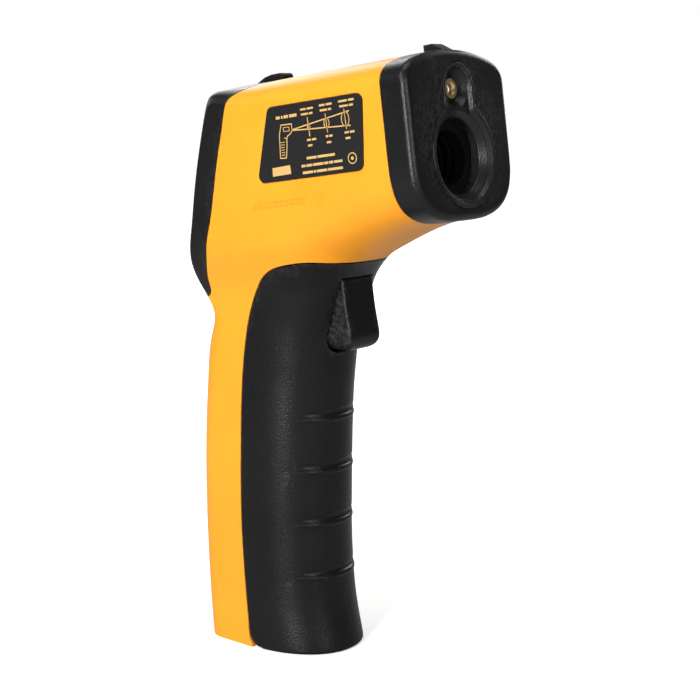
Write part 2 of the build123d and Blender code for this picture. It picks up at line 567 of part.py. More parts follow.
# ---------------------------------------------------------------- trigger group
# side view: 15 points down the curved front face to the bottom, then up the back
TRIGGER = [
    (22.3, 100.9), (22.5, 99.0), (22.75, 97.3), (23.15, 94.7), (23.75, 91.6), (24.35, 89.0),
    (24.8, 86.7), (24.85, 85.2), (24.5, 83.9), (23.6, 82.9), (22.2, 82.3), (20.4, 82.05),
    (18.4, 82.05), (17.2, 82.6), (16.6, 83.9),
    (16.35, 87.5), (15.75, 91.2), (14.5, 94.6), (13.1, 97.5), (12.7, 100.4), (13.4, 102.2),
    (15.2, 103.0), (17.2, 102.6), (18.4, 101.8), (19.8, 101.1)]
TRIGGER_HOLLOW = [(17.9, 84.6), (22.4, 84.8), (21.2, 92.4), (17.4, 92.4)]
trigger = prism(TRIGGER, -6.0, 6.0, curved=15)
trigger = trigger & front_window(6.0, 82.0, 104.0, 3.9, 8, 40)
finger_edges = [
    e for e in trigger.edges()
    if e.center().X > 19.5 and not (e.center().Z > 100.8)
    and e.bounding_box().max.X > 24.0 and abs(e.center().Y) > 1.0]
trigger = soft_fillet(trigger, finger_edges, [1.5, 1.3, 1.1, 0.9, 0.7, 0.5])
trigger = trigger - (box(12, 22.4, -4.4, 4.4, 84.6, 93.2) & prism(TRIGGER_HOLLOW, -5, 5))
trigger = trigger - cross_cyl(*TRIGGER_PIVOT, 1.26, -10, 10)
parts["trigger"] = trigger - cross_cyl(*TRIGGER_PIVOT, 3.3, -4.0, 4.0)   # room for the spring
parts["trigger_pin"] = cross_cyl(*TRIGGER_PIVOT, 1.2, -8.3, 8.3)
pivot_x, pivot_z = TRIGGER_PIVOT
parts["trigger_spring"] = Pos(pivot_x, 2.9, pivot_z) * Rot(90, 0, 0) * coil(2.1, 0.3, 0.95, 5.6)

ARM = [(4.8, 84.0), (12.0, 84.0), (13.6, 91.0), (19.4, 96.2), (20.2, 99.5), (19.2, 102.6),
       (14.8, 111.5), (4.8, 111.5)]
bracket = prism(ARM, -8.1, -6.55) + prism(ARM, 6.55, 8.1)
bracket = bracket + box(4.8, 6.3, -8.1, 8.1, 84.0, 111.5)      # back plate
bracket = bracket + box(4.8, 14.0, -8.1, 8.1, 109.9, 111.5)    # top plate
bracket = bracket & housing(WALL + 0.45)
wing_form = housing(WALL + 0.15) - box(6.3, 20, -6.5, 6.5, 100, 109.5)
bracket = bracket + (box(6.5, 12.5, -30, 30, 107.4, 109.0) & wing_form)
parts["trigger_bracket"] = bracket - cross_cyl(*TRIGGER_PIVOT, 1.22, -10, 10)
parts["trigger_switch"] = (box(6.35, 12.4, -3.4, 3.4, 86.2, 95.8)
                           - box(9.4, 13, -1.35, 1.35, 89.15, 92.25))
parts["switch_plunger"] = box(10.9, 15.3, -1.3, 1.3, 89.2, 92.2)

# ---------------------------------------------------------------- wiring
WIRE_END = -8.12                  # just inside the main board
parts["battery_wires"] = wiring(
    [(-9.4, 66.3), (-9.3, 76), (-8.2, 90), (-7.2, 101), (-8.6, 106.6),
     back_point(-17.5, WIRE_END)], (-2.6, 2.6), 0.6)
LASER_RUN = [(-18.1, LASER_U), (-23, 15.2), (-31, 13.6), (-42, 13.2), (-52, 12.0)]
parts["laser_wires"] = wiring(
    [barrel_point(*p) for p in LASER_RUN] + [back_point(14.5, WIRE_END)], (-1.2, 1.2), 0.5)
parts["sensor_wires"] = wiring(
    [barrel_point(-35.85, -3.0), barrel_point(-42, -5.5), (1.0, 117.5),
     back_point(-7.5, WIRE_END)], (-2.2, 0.0, 2.2), 0.45)

for name, shape in parts.items():
    export_step(shape, f"parts/{name}.step")
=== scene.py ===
"""A pistol-shaped infrared thermometer: materials, printed marks, studio and camera.

The row frame is in metres: +X runs to the nose, +Z is up, -Y is the tool's right side.
Marks are drawn in millimetres, in a frame along the tilted barrel or one on the back face.
"""
import math

import bmesh
import bpy
import numpy as np
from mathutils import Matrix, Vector
from mathutils.bvhtree import BVHTree


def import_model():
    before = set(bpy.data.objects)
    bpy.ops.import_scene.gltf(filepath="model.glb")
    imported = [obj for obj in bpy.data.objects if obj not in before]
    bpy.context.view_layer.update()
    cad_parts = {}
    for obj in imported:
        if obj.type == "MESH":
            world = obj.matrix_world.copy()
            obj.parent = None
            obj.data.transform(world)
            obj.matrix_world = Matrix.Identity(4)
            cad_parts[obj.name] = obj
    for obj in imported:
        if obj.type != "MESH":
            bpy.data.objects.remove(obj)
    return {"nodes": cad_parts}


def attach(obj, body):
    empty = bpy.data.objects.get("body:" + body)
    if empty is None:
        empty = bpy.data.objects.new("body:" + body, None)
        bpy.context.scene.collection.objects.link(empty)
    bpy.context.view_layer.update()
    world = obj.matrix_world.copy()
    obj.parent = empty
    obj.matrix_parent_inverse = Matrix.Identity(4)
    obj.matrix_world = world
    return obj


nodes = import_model()["nodes"]
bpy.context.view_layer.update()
scene = bpy.context.scene

MM = 0.001
SIDES = (("right", -1), ("left", 1))  # name, sign of Y
BARREL_TILT = math.radians(8.0)
BARREL_COS, BARREL_SIN = math.cos(BARREL_TILT), math.sin(BARREL_TILT)
BARREL_X, BARREL_Z = 55.3, 133.3  # origin of the barrel frame
BACK_X, BACK_Z = -17.1, 126.0  # origin of the back face frame
BACK_COS, BACK_SIN = 0.9858, 0.168  # lean of the back face


def barrel_point(along, y, up):
    """Barrel frame in mm to the row frame in metres."""
    x = BARREL_X + along * BARREL_COS - up * BARREL_SIN
    z = BARREL_Z + along * BARREL_SIN + up * BARREL_COS
    return Vector((x * MM, y * MM, z * MM))


def back_point(right, up, out):
    """Back face frame in mm to the row frame in metres."""
    x = BACK_X + up * BACK_SIN - out * BACK_COS
    z = BACK_Z + up * BACK_COS + out * BACK_SIN
    return Vector((x * MM, -right * MM, z * MM))


# ---------------------------------------------------------------- materials
MATERIALS = {}


class Material:
    """A new material, with short ways to add nodes to its tree."""

    def __init__(self, name):
        self.data = MATERIALS[name] = bpy.data.materials.new(name)
        self.data.use_nodes = True
        self.tree = self.data.node_tree
        self.surface = self.tree.nodes["Principled BSDF"]
        self.coords = self.add("ShaderNodeTexCoord").outputs["Object"]

    def feed(self, socket, value):
        """Link or set an input; a plain colour gets full alpha."""
        if isinstance(value, bpy.types.NodeSocket):
            self.tree.links.new(value, socket)
        elif socket.type == "RGBA":
            socket.default_value = (*value, 1)
        else:
            socket.default_value = value

    def fill(self, node, **settings):
        """Set inputs by name, with _ for a space, and node properties."""
        for name, value in settings.items():
            label = name.replace("_", " ")
            if label in node.inputs.keys():
                self.feed(node.inputs[label], value)
            else:
                setattr(node, name, value)
        return node

    def add(self, kind, **settings):
        return self.fill(self.tree.nodes.new(kind), **settings)

    def finish(self, **settings):
        self.fill(self.surface, **settings)

    def combine(self, kind, *values, **settings):
        """Add a node whose inputs are fed in order."""
        node = self.add(kind, **settings)
        for socket, value in zip(node.inputs, values):
            self.feed(socket, value)
        return node.outputs[0]

    def calc(self, operation, first, second=0.0):
        return self.combine("ShaderNodeMath", first, second, operation=operation)

    def noise(self, scale, detail=3.0, roughness=0.55, vector=None):
        return self.add("ShaderNodeTexNoise", Vector=vector or self.coords, Scale=scale,
                        Detail=detail, Roughness=roughness).outputs["Fac"]

    def cells(self, scale):
        return self.add("ShaderNodeTexVoronoi", feature="F1", Vector=self.coords,
                        Scale=scale).outputs["Distance"]

    def remap(self, value, span, out=(0.0, 1.0)):
        return self.add("ShaderNodeMapRange", Value=value, From_Min=span[0], From_Max=span[1],
                        To_Min=out[0], To_Max=out[1]).outputs["Result"]

    def vary(self, value, low, high):
        """Spread the middle of a noise over low to high."""
        return self.remap(value, (0.3, 0.7), (low, high))

    def mix(self, factor, first, second):
        node = self.add("ShaderNodeMix", data_type="RGBA")
        for index, value in ((0, factor), (6, first), (7, second)):
            self.feed(node.inputs[index], value)
        return node.outputs[2]

    def bump(self, height, strength, depth, **normal):
        return self.add("ShaderNodeBump", Height=height, Strength=strength, Distance=depth,
                        **normal).outputs["Normal"]


def moulded(name, tone, dark, roughness, mottle, grain_scale, grain, specular, edge, dusty,
            edge_radius):
    """Moulded plastic: fine grain, slow tone drift, and rubbed edges or dust if asked."""
    mat = Material(name)
    drift = mat.noise(scale=38.0, detail=4.0, roughness=0.6)
    fine = mat.noise(grain_scale, detail=2.0, roughness=0.5)
    pits = mat.cells(grain_scale * 0.62)
    colour = mat.mix(mat.remap(drift, span=(0.35, 0.68)), dark, tone)
    if edge:
        corner = mat.add("ShaderNodeNewGeometry").outputs["Pointiness"]
        rubbed = mat.calc("MULTIPLY", mat.remap(corner, span=(0.53, 0.60)),
                          mat.remap(mat.noise(scale=900.0), span=(0.42, 0.62)))
        colour = mat.mix(mat.calc("MULTIPLY", rubbed, 0.5), colour, edge)
    if dusty:
        dust = mat.calc("MULTIPLY",
                        mat.remap(mat.cells(scale=260.0), span=(0.05, 0.075), out=(1.0, 0.0)),
                        mat.remap(mat.noise(scale=60.0), span=(0.62, 0.7)))
        colour = mat.mix(mat.calc("MULTIPLY", dust, 0.35), colour, (0.35, 0.34, 0.33))
    rough = mat.calc("ADD", mat.vary(fine, roughness - mottle, roughness + mottle),
                     mat.vary(drift, low=-0.03, high=0.03))
    height = mat.calc("ADD", mat.calc("MULTIPLY", fine, 0.7), mat.calc("MULTIPLY", pits, 0.5))
    soft = mat.add("ShaderNodeBevel", samples=6, Radius=edge_radius * 0.001).outputs[0]
    waves = mat.noise(scale=120.0, detail=2.0)
    normal = mat.bump(waves, strength=0.05, depth=0.0003, Normal=soft)
    normal = mat.bump(height, grain, depth=0.00010, Normal=normal)
    mat.finish(Base_Color=colour, Roughness=rough, Normal=normal, Specular_IOR_Level=specular)


# name, tone, dark tone, roughness, its mottle, grain scale, grain strength, specular,
# rubbed edge tone, dusty, edge radius in mm
MOULDED = (
    ("orange_shell", (0.96, 0.375, 0.022), (0.92, 0.345, 0.018), 0.40, 0.03, 5200.0, 0.10, 0.30,
     None, False, 0.28),
    ("black_plastic", (0.0085, 0.0085, 0.009), (0.006, 0.006, 0.0065), 0.34, 0.06, 3400.0, 0.6,
     0.30, (0.05, 0.05, 0.052), True, 0.28),
    ("grip_soft", (0.0080, 0.0080, 0.0085), (0.0055, 0.0055, 0.006), 0.30, 0.05, 3100.0, 0.55,
     0.22, (0.045, 0.045, 0.047), True, 0.28),
    ("trigger_satin", (0.0080, 0.0080, 0.0085), (0.006, 0.006, 0.0065), 0.27, 0.02, 4200.0, 0.10,
     0.28, (0.05, 0.05, 0.052), True, 1.1),
    ("aperture_moulding", (0.0095, 0.0095, 0.010), (0.007, 0.007, 0.0075), 0.33, 0.06, 3000.0,
     0.6, 0.42, (0.05, 0.05, 0.052), True, 0.3),
    ("inner_plastic", (0.02, 0.02, 0.022), (0.012, 0.012, 0.013), 0.62, 0.06, 2600.0, 0.35, 0.35,
     None, False, 0.28),
    ("matt_optical_black", (0.004, 0.004, 0.0045), (0.002, 0.002, 0.002), 0.8, 0.05, 3000.0, 0.4,
     0.15, None, False, 0.28),
    ("key_silicone", (0.16, 0.165, 0.17), (0.12, 0.125, 0.13), 0.62, 0.05, 3200.0, 0.3, 0.4,
     (0.28, 0.28, 0.28), False, 0.28),
    ("component_epoxy", (0.02, 0.02, 0.021), (0.012, 0.012, 0.012), 0.55, 0.06, 6000.0, 0.35,
     0.4, None, False, 0.28),
)


def turned(name, tone, dark, roughness, stretch, line_scale, anisotropy):
    """Turned or drawn metal with fine tool lines."""
    mat = Material(name)
    mapping = mat.add("ShaderNodeMapping", Vector=mat.coords, Rotation=(0, BARREL_TILT, 0),
                      Scale=stretch)
    lines = mat.noise(line_scale, detail=2.0, roughness=0.5, vector=mapping.outputs["Vector"])
    tarnish = mat.noise(scale=420.0, detail=4.0, roughness=0.6)
    mat.finish(Base_Color=mat.mix(mat.remap(tarnish, span=(0.4, 0.66)), tone, dark), Metallic=1.0,
               Roughness=mat.vary(lines, roughness - 0.08, roughness + 0.1),
               Normal=mat.bump(lines, strength=0.25, depth=0.00002), Anisotropic=anisotropy)


# name, tone, tarnished tone, roughness, stretch of the lines, their scale, anisotropy
TURNED = (
    ("laser_brass", (1.0, 0.76, 0.40), (0.80, 0.54, 0.25), 0.34, (3.0, 0.15, 0.15), 9000.0, 0.4),
    ("zinc_steel", (0.62, 0.62, 0.64), (0.42, 0.42, 0.45), 0.3, (1.0, 1.0, 1.0), 2600.0, 0.2),
    ("nickel_plate", (0.72, 0.69, 0.64), (0.5, 0.47, 0.42), 0.2, (1.0, 1.0, 1.0), 3000.0, 0.2),
)


def label_print():
    """Black label film with a few pale scratches."""
    mat = Material("label_print")
    fine = mat.noise(scale=2600.0)
    wave = mat.add("ShaderNodeTexWave", Vector=mat.coords, Scale=300.0, Distortion=18.0,
                   Detail=3.0).outputs["Fac"]
    scratch = mat.calc("MULTIPLY", mat.remap(wave, span=(0.985, 1.0)),
                       mat.remap(mat.noise(scale=90.0), span=(0.55, 0.62)))
    colour = mat.mix(mat.calc("MULTIPLY", scratch, 0.12), (0.0085, 0.0085, 0.009),
                     (0.05, 0.05, 0.05))
    mat.finish(Base_Color=colour, Roughness=mat.vary(fine, low=0.38, high=0.5),
               Normal=mat.bump(fine, strength=0.12, depth=0.00003), Specular_IOR_Level=0.4)


def label_ink():
    mat = Material("label_ink")
    fine = mat.noise(scale=3800.0, roughness=0.6)
    colour = mat.mix(mat.remap(fine, span=(0.35, 0.65)), (0.56, 0.34, 0.10), (0.74, 0.47, 0.17))
    mat.finish(Base_Color=colour, Roughness=mat.vary(fine, low=0.5, high=0.62),
               Normal=mat.bump(fine, strength=0.2, depth=0.00002))


def ir_optic():
    """Dark violet lens, paler at grazing angles."""
    mat = Material("ir_optic")
    facing = mat.add("ShaderNodeLayerWeight", Blend=0.45).outputs["Facing"]
    ramp = mat.add("ShaderNodeValToRGB", Fac=facing)
    stops = ramp.color_ramp.elements
    stops.new(0.5)
    tones = ((0.0, (0.018, 0.012, 0.03)), (0.55, (0.05, 0.02, 0.07)), (1.0, (0.1, 0.08, 0.16)))
    for stop, (position, tone) in zip(stops, tones):
        stop.position = position
        stop.color = (*tone, 1)
    fine = mat.noise(scale=700.0, detail=2.0)
    mat.finish(Base_Color=ramp.outputs["Color"], Roughness=mat.vary(fine, low=0.05, high=0.12),
               Metallic=0.35, Coat_Weight=0.6, Coat_Roughness=0.05,
               Normal=mat.bump(fine, strength=0.03, depth=0.00002))


def laser_optic():
    """Coated collimator glass with a painted reflex: an emissive spot that stands in for a
    highlight.
    """
    glint_y, glint_z = 0.00035, 0.14885  # centre of the reflex in metres
    mat = Material("laser_optic")
    fine = mat.noise(scale=1500.0, detail=2.0)
    place = mat.add("ShaderNodeSeparateXYZ", Vector=mat.coords).outputs
    off_y = mat.calc("ABSOLUTE", mat.calc("SUBTRACT", place["Y"], glint_y))
    off_z = mat.calc("ABSOLUTE", mat.calc("SUBTRACT", place["Z"], glint_z))
    # painted highlight: a small patch on the lens, placed where the key light's reflection would
    # sit, broken up by noise
    glint = mat.calc("MULTIPLY", mat.remap(off_y, span=(0.00022, 0.00050), out=(1.0, 0.0)),
                     mat.remap(off_z, span=(0.0006, 0.0011), out=(1.0, 0.0)))
    patchy = mat.remap(mat.noise(scale=2600.0, detail=2.0), span=(0.40, 0.60), out=(0.45, 1.0))
    glint = mat.calc("MULTIPLY", glint, patchy)
    mat.finish(Base_Color=mat.mix(fine, (0.10, 0.08, 0.06), (0.16, 0.11, 0.07)),
               Roughness=mat.vary(fine, low=0.05, high=0.12), Metallic=0.3, Coat_Weight=1.0,
               # the painted highlight glows through emission, though the lens is no lamp
               Coat_Roughness=0.04, Emission_Color=(1.0, 0.97, 0.92),
               Emission_Strength=mat.calc("MULTIPLY", glint, 1.1))


def clear_window():
    mat = Material("clear_window")
    smear = mat.noise(scale=260.0)
    mat.finish(Base_Color=(0.92, 0.95, 0.95), Roughness=mat.vary(smear, low=0.03, high=0.08),
               Transmission_Weight=1.0, IOR=1.3,
               Normal=mat.bump(smear, strength=0.02, depth=0.00005))


def lcd_glass():
    mat = Material("lcd_glass")
    grid = mat.noise(scale=5200.0, detail=1.0)
    slow = mat.noise(scale=55.0, detail=2.0)
    colour = mat.mix(mat.vary(slow, low=0.0, high=1.0), (0.30, 0.335, 0.275), (0.36, 0.39, 0.32))
    specks = mat.remap(grid, span=(0.4, 0.6), out=(0.0, 0.15))
    mat.finish(Base_Color=mat.mix(specks, colour, (0.2, 0.22, 0.19)), Roughness=0.22,
               Coat_Weight=0.5, Coat_Roughness=0.08,
               Normal=mat.bump(grid, strength=0.05, depth=0.00002))


def lcd_segment():
    mat = Material("lcd_segment")
    fine = mat.noise(scale=2600.0, detail=2.0)
    mat.finish(Base_Color=mat.mix(fine, (0.05, 0.055, 0.05), (0.075, 0.08, 0.07)),
               Roughness=mat.vary(fine, low=0.25, high=0.35))


def circuit_board():
    """Green board with patches of paler tracks."""
    mat = Material("circuit_board")
    mapping = mat.add("ShaderNodeMapping", Vector=mat.coords, Rotation=(0, 0, 0))
    black, white = (0, 0, 0), (1, 1, 1)
    tracks = mat.add("ShaderNodeTexBrick", Vector=mapping.outputs["Vector"], Scale=420.0,
                     Color1=black, Color2=black, Mortar=white, Mortar_Size=0.06).outputs["Fac"]
    patches = mat.remap(mat.noise(scale=110.0, detail=2.0), span=(0.5, 0.56))
    colour = mat.mix(mat.calc("MULTIPLY", tracks, patches), (0.008, 0.085, 0.028),
                     (0.03, 0.18, 0.07))
    weave = mat.noise(scale=6000.0, detail=1.0)
    height = mat.calc("ADD", mat.calc("MULTIPLY", tracks, 0.6), weave)
    mat.finish(Base_Color=colour, Roughness=mat.vary(weave, low=0.28, high=0.42),
               Coat_Weight=0.4, Coat_Roughness=0.15,
               Normal=mat.bump(height, strength=0.2, depth=0.00003))


def backlight():
    mat = Material("backlight")
    dots = mat.cells(scale=1900.0)
    mat.finish(Base_Color=mat.mix(dots, (0.82, 0.85, 0.88), (0.7, 0.74, 0.78)),
               Roughness=mat.remap(dots, span=(0.0, 0.5), out=(0.3, 0.5)),
               Subsurface_Weight=0.2, Normal=mat.bump(dots, strength=0.2, depth=0.00003))


def cell_sleeve():
    """Blue sleeve with a pale upper band and bare metal ends, split by height in metres."""
    mat = Material("cell_sleeve")
    height = mat.add("ShaderNodeSeparateXYZ", Vector=mat.coords).outputs["Z"]
    band = mat.remap(height, span=(0.0455, 0.0457))
    ends = mat.calc("ADD", mat.remap(height, span=(0.0173, 0.0171)),
                    mat.remap(height, span=(0.0582, 0.0584)))
    ends = mat.calc("MINIMUM", ends, 1.0)
    fine = mat.noise(scale=900.0)
    blue = mat.mix(fine, (0.015, 0.05, 0.13), (0.02, 0.065, 0.16))
    silver = mat.mix(fine, (0.5, 0.5, 0.52), (0.62, 0.62, 0.64))
    sleeve = mat.mix(band, blue, (0.62, 0.60, 0.56))
    mat.finish(Base_Color=mat.mix(ends, sleeve, silver),
               Metallic=mat.calc("MULTIPLY", ends, 1.0),
               Roughness=mat.vary(fine, low=0.22, high=0.34), Coat_Weight=0.3,
               Normal=mat.bump(fine, strength=0.05, depth=0.00004))


def wire(name, tone, pale):
    mat = Material(name)
    fine = mat.noise(scale=1500.0)
    mat.finish(Base_Color=mat.mix(fine, tone, pale),
               Roughness=mat.vary(fine, low=0.35, high=0.5),
               Normal=mat.bump(fine, strength=0.15, depth=0.00003), Subsurface_Weight=0.05)


def elastomer_strip():
    """Pink rubber banded with black along Y."""
    mat = Material("elastomer_strip")
    bands = mat.add("ShaderNodeTexWave", Vector=mat.coords, Scale=900.0,
                    bands_direction="Y").outputs["Fac"]
    colour = mat.mix(mat.remap(bands, span=(0.45, 0.55)), (0.62, 0.42, 0.45), (0.02, 0.02, 0.02))
    mat.finish(Base_Color=colour, Roughness=mat.remap(bands, span=(0, 1), out=(0.5, 0.65)),
               Normal=mat.bump(bands, strength=0.2, depth=0.00003))


for row in MOULDED:
    moulded(*row)
for row in TURNED:
    turned(*row)
for make in (label_print, label_ink, ir_optic, laser_optic, clear_window, lcd_glass, lcd_segment,
             circuit_board, backlight, cell_sleeve):
    make()
wire("wire_red", (0.42, 0.012, 0.01), (0.5, 0.02, 0.015))
wire("wire_white", (0.6, 0.58, 0.52), (0.7, 0.68, 0.62))
wire("wire_blue", (0.02, 0.05, 0.25), (0.03, 0.07, 0.32))
elastomer_strip()

# material: the pieces that wear it
PIECES = {
    "orange_shell": "body_shell_right body_shell_left",
    "black_plastic": "nose_cap rear_bezel",
    "aperture_moulding": "optic_bezel",
    "grip_soft": "battery_door",
    "trigger_satin": "trigger",
    "inner_plastic": "trigger_bracket battery_tray",
    "matt_optical_black": "lens_tube lens_retainer",
    "key_silicone": "button_left button_center button_right switch_plunger",
    "component_epoxy": "board_components key_switches trigger_switch",
    "laser_brass": "laser_module",
    "zinc_steel": "board_screws trigger_pin sensor_screws case_screws",
    "nickel_plate": "trigger_spring thermopile_sensor battery_bridge battery_contacts"
                    " battery_springs",
    "label_print": "side_label_right side_label_left",
    "ir_optic": "ir_lens",
    "laser_optic": "laser_lens",
    "clear_window": "display_window",
    "lcd_glass": "lcd_module",
    "circuit_board": "main_board sensor_board",
    "backlight": "lcd_backlight",
    "cell_sleeve": "battery_cells",
    "wire_red": "battery_wires",
    "wire_white": "sensor_wires",
    "wire_blue": "laser_wires",
    "elastomer_strip": "contact_strip",
}
for material_name, piece_names in PIECES.items():
    for piece_name in piece_names.split():
        slots = nodes[piece_name].data.materials
        slots.clear()
        slots.append(MATERIALS[material_name])


# ---------------------------------------------------------------- flat marks
def unit(vector):
    return vector / (np.linalg.norm(vector) + 1e-12)


class Plate:
    """Closed flat prisms drawn in a 2-D frame and raised through place(a, b, height)."""

    def __init__(self, place, bottom, top):
        self.verts, self.faces = [], []
        self.place, self.heights = place, (bottom, top)

    def raise_points(self, points):
        """Add the points at both heights and return the first index."""
        first = len(self.verts)
        for height in self.heights:
            self.verts += [self.place(a, b, height) for a, b in points]
        return first

    def polygon(self, points):
        n, k = len(points), self.raise_points(points)
        self.faces.append(list(range(k + n - 1, k - 1, -1)))
        self.faces.append(list(range(k + n, k + 2 * n)))
        for i in range(n):
            j = (i + 1) % n
            self.faces.append([k + i, k + j, k + n + j, k + n + i])

    def line(self, points, width, closed=False):
        """A strip along the points, mitred at its corners."""
        path = np.array(points, float)
        n = len(path)
        left, right = [], []
        for i, point in enumerate(path):
            arriving = unit(point - path[i - 1] if closed or i > 0 else path[1] - point)
            leaving = unit(path[(i + 1) % n] - point) if closed or i < n - 1 else arriving
            along = unit(arriving + leaving)
            across = np.array([-along[1], along[0]])
            square = abs(float(np.dot(across, [-arriving[1], arriving[0]])))
            stretch = 1.0 / max(0.5, square)
            left.append(point + across * width / 2 * stretch)
            right.append(point - across * width / 2 * stretch)
        k = self.raise_points(left + right)
        up = 2 * n
        for i in range(n if closed else n - 1):
            j = (i + 1) % n
            l0, l1, r0, r1 = k + i, k + j, k + n + i, k + n + j
            self.faces += [[l0 + up, r0 + up, r1 + up, l1 + up], [l0, l1, r1, r0],
                           [l0, l0 + up, l1 + up, l1], [r0, r1, r1 + up, r0 + up]]
        if not closed:
            end = k + n - 1
            self.faces += [[k, k + n, k + n + up, k + up], [end, end + up, end + n + up, end + n]]

    def box(self, a0, a1, b0, b1):
        self.polygon([(a0, b0), (a1, b0), (a1, b1), (a0, b1)])

    def build(self, name, material, body):
        mesh = bpy.data.meshes.new(name)
        mesh.from_pydata([tuple(vert) for vert in self.verts], [], self.faces)
        mesh.validate()
        work = bmesh.new()
        work.from_mesh(mesh)
        bmesh.ops.recalc_face_normals(work, faces=work.faces)
        work.to_mesh(mesh)
        work.free()
        for face in mesh.polygons:
            face.use_smooth = False
        piece = bpy.data.objects.new(name, mesh)
        scene.collection.objects.link(piece)
        mesh.materials.append(MATERIALS[material])
        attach(piece, body)


def ellipse(a, b, radius_a, radius_b, count):
    turns = [2 * math.pi * i / count for i in range(count)]
    return [(a + radius_a * math.cos(turn), b + radius_b * math.sin(turn)) for turn in turns]


def circle(a, b, radius, count):
    return ellipse(a, b, radius, radius, count)


def spokes(plate, a, b, inner, outer, count):
    """Short rays an eighth of a turn apart."""
    for i in range(count):
        turn = math.pi * i / 4
        plate.line([(a + radius * math.cos(turn), b + radius * math.sin(turn))
                    for radius in (inner, outer)], 0.22)


# ---------------------------------------------------------------- side labels, barrel frame
LABEL_BOTTOM, LABEL_TOP = 20.93, 20.985  # distance of the ink from the middle plane
WORD_GAP = 0.45
PISTOL = [(-39.0, 12.4), (-35.6, 12.3), (-35.5, 10.7), (-36.2, 10.0), (-37.3, 9.5), (-37.6, 8.7),
          (-37.7, 7.2), (-38.4, 4.3), (-40.3, 4.4), (-40.0, 8.2), (-39.9, 9.9)]
PISTOL_WINDOW = [(-38.35, 11.7), (-36.5, 11.65), (-36.5, 10.75), (-38.3, 10.75)]
# start, end, width: trigger stroke, two spreading lines, three upright lines
STROKES = (
    ((-38.4, 9.2), (-37.6, 9.0), 0.18),
    ((-35.6, 10.85), (-17.2, 13.15), 0.3), ((-35.6, 10.7), (-17.2, 9.7), 0.3),
    ((-30.3, 13.2), (-30.1, 8.6), 0.2), ((-24.6, 13.4), (-24.4, 8.9), 0.2),
    ((-18.7, 13.8), (-18.5, 9.0), 0.2),
)
# centre, two radii, point count, line width
SPOTS = (
    (-30.15, 11.0, 0.42, 0.62, 20, 0.18), (-24.45, 11.15, 0.8, 1.15, 28, 0.2),
    (-18.6, 11.4, 1.15, 1.72, 32, 0.2),
)
# start, end, foot, height, relative word lengths
PRINT = (
    (-32.3, -28.2, 15.05, 0.5, (2, 2.2)), (-32.2, -28.5, 13.85, 0.5, (3, 1.5)),
    (-26.2, -22.2, 15.25, 0.5, (2, 2.1)), (-26.1, -22.5, 14.05, 0.5, (3, 1.5)),
    (-20.2, -15.4, 15.4, 0.5, (3, 2)), (-20.0, -15.8, 14.2, 0.5, (3.4, 1.6)),
    (-31.1, -28.2, 7.55, 0.5, (1.6, 1.8)), (-31.0, -29.6, 6.2, 0.5, (2,)),
    (-25.1, -23.0, 7.75, 0.5, (1, 1.4)), (-25.0, -23.6, 6.3, 0.5, (2,)),
    (-19.2, -16.2, 7.95, 0.5, (1.6, 1.8)), (-19.1, -17.6, 6.6, 0.5, (2,)),
    (-40.4, -33.6, 13.9, 0.72, (1.4, 0.5, 1.5, 2.6)), (-31.9, -22.9, 3.2, 0.62, (5, 8.5)),
    (-33.8, -20.8, 1.45, 0.62, (2, 3, 5, 2, 2, 4)), (-33.6, -20.9, -0.2, 0.62, (5, 1, 5, 7)),
)
PATCH = [(-43.45, 0.2), (-37.35, 0.3), (-37.5, 2.45), (-43.4, 2.3)]
RING_A, RING_B = -17.7, 2.0


def print_bars(plate, start, end, foot, height, words):
    """A run of plain bars standing where print would be."""
    scale = (end - start) / (sum(words) + WORD_GAP * (len(words) - 1))
    for word in words:
        plate.box(start, start + word * scale, foot, foot + height)
        start += (word + WORD_GAP) * scale


def label_art(side, sign):
    plate = Plate(lambda a, b, h: barrel_point(a, sign * h, b), LABEL_BOTTOM, LABEL_TOP)
    plate.line(PISTOL, 0.26, closed=True)
    plate.line(PISTOL_WINDOW, 0.16, closed=True)
    for i in range(6):  # ribs on the pistol's grip
        b = 5.1 + 0.62 * i
        plate.line([(-39.7, b), (-38.75 + 0.08 * i, b - 0.02)], 0.17)
    for start, end, width in STROKES:
        plate.line([start, end], width)
    for *shape, width in SPOTS:
        plate.line(ellipse(*shape), width, closed=True)
    for row in PRINT:
        print_bars(plate, *row)
    plate.polygon(PATCH)
    plate.line(circle(RING_A, RING_B, 1.25, 32), 0.24, closed=True)
    plate.polygon(circle(RING_A, RING_B, 0.42, 18))
    plate.build(f"label_art_{side}", "label_ink", "housing")


# ---------------------------------------------------------------- raised marks, barrel frame
RELIEF_BOTTOM, RELIEF_TOP = -0.25, 0.10  # from the shell surface
RAY_START, FLAT_SIDE = 40, 20.75  # distances from the middle plane
STAR_A, STAR_B = -29.6, -6.4


def relief_mark(side, sign):
    """Two rails with rungs, and a star near their nose end, laid on the shell."""
    work = bmesh.new()
    work.from_mesh(nodes[f"body_shell_{side}"].data)
    tree = BVHTree.FromBMesh(work)
    work.free()

    def onto_shell(a, b, height):
        point = barrel_point(a, sign * RAY_START, b)
        hit = tree.ray_cast(point, Vector((0, -sign, 0)))[0]
        # a ray that misses the shell falls back to a flat side
        y = hit.y if hit is not None else sign * FLAT_SIDE * MM
        return Vector((point.x, y + sign * height * MM, point.z))

    plate = Plate(onto_shell, RELIEF_BOTTOM, RELIEF_TOP)
    for offset in (-0.55, 0.55):
        plate.line([(-51.5 + 1.6 * i, -6.6 + offset + 0.01 * i) for i in range(12)], 0.22)
    for i in range(10):
        a = -51.0 + 1.75 * i
        plate.line([(a, -7.0), (a + 0.55, -6.2)], 0.16)
    spokes(plate, STAR_A, STAR_B, inner=1.1, outer=2.1, count=8)
    plate.polygon(circle(STAR_A, STAR_B, 0.55, 18))
    plate.build(f"relief_mark_{side}", "orange_shell", "housing")


for draw in (label_art, relief_mark):
    for side, sign in SIDES:
        draw(side, sign)

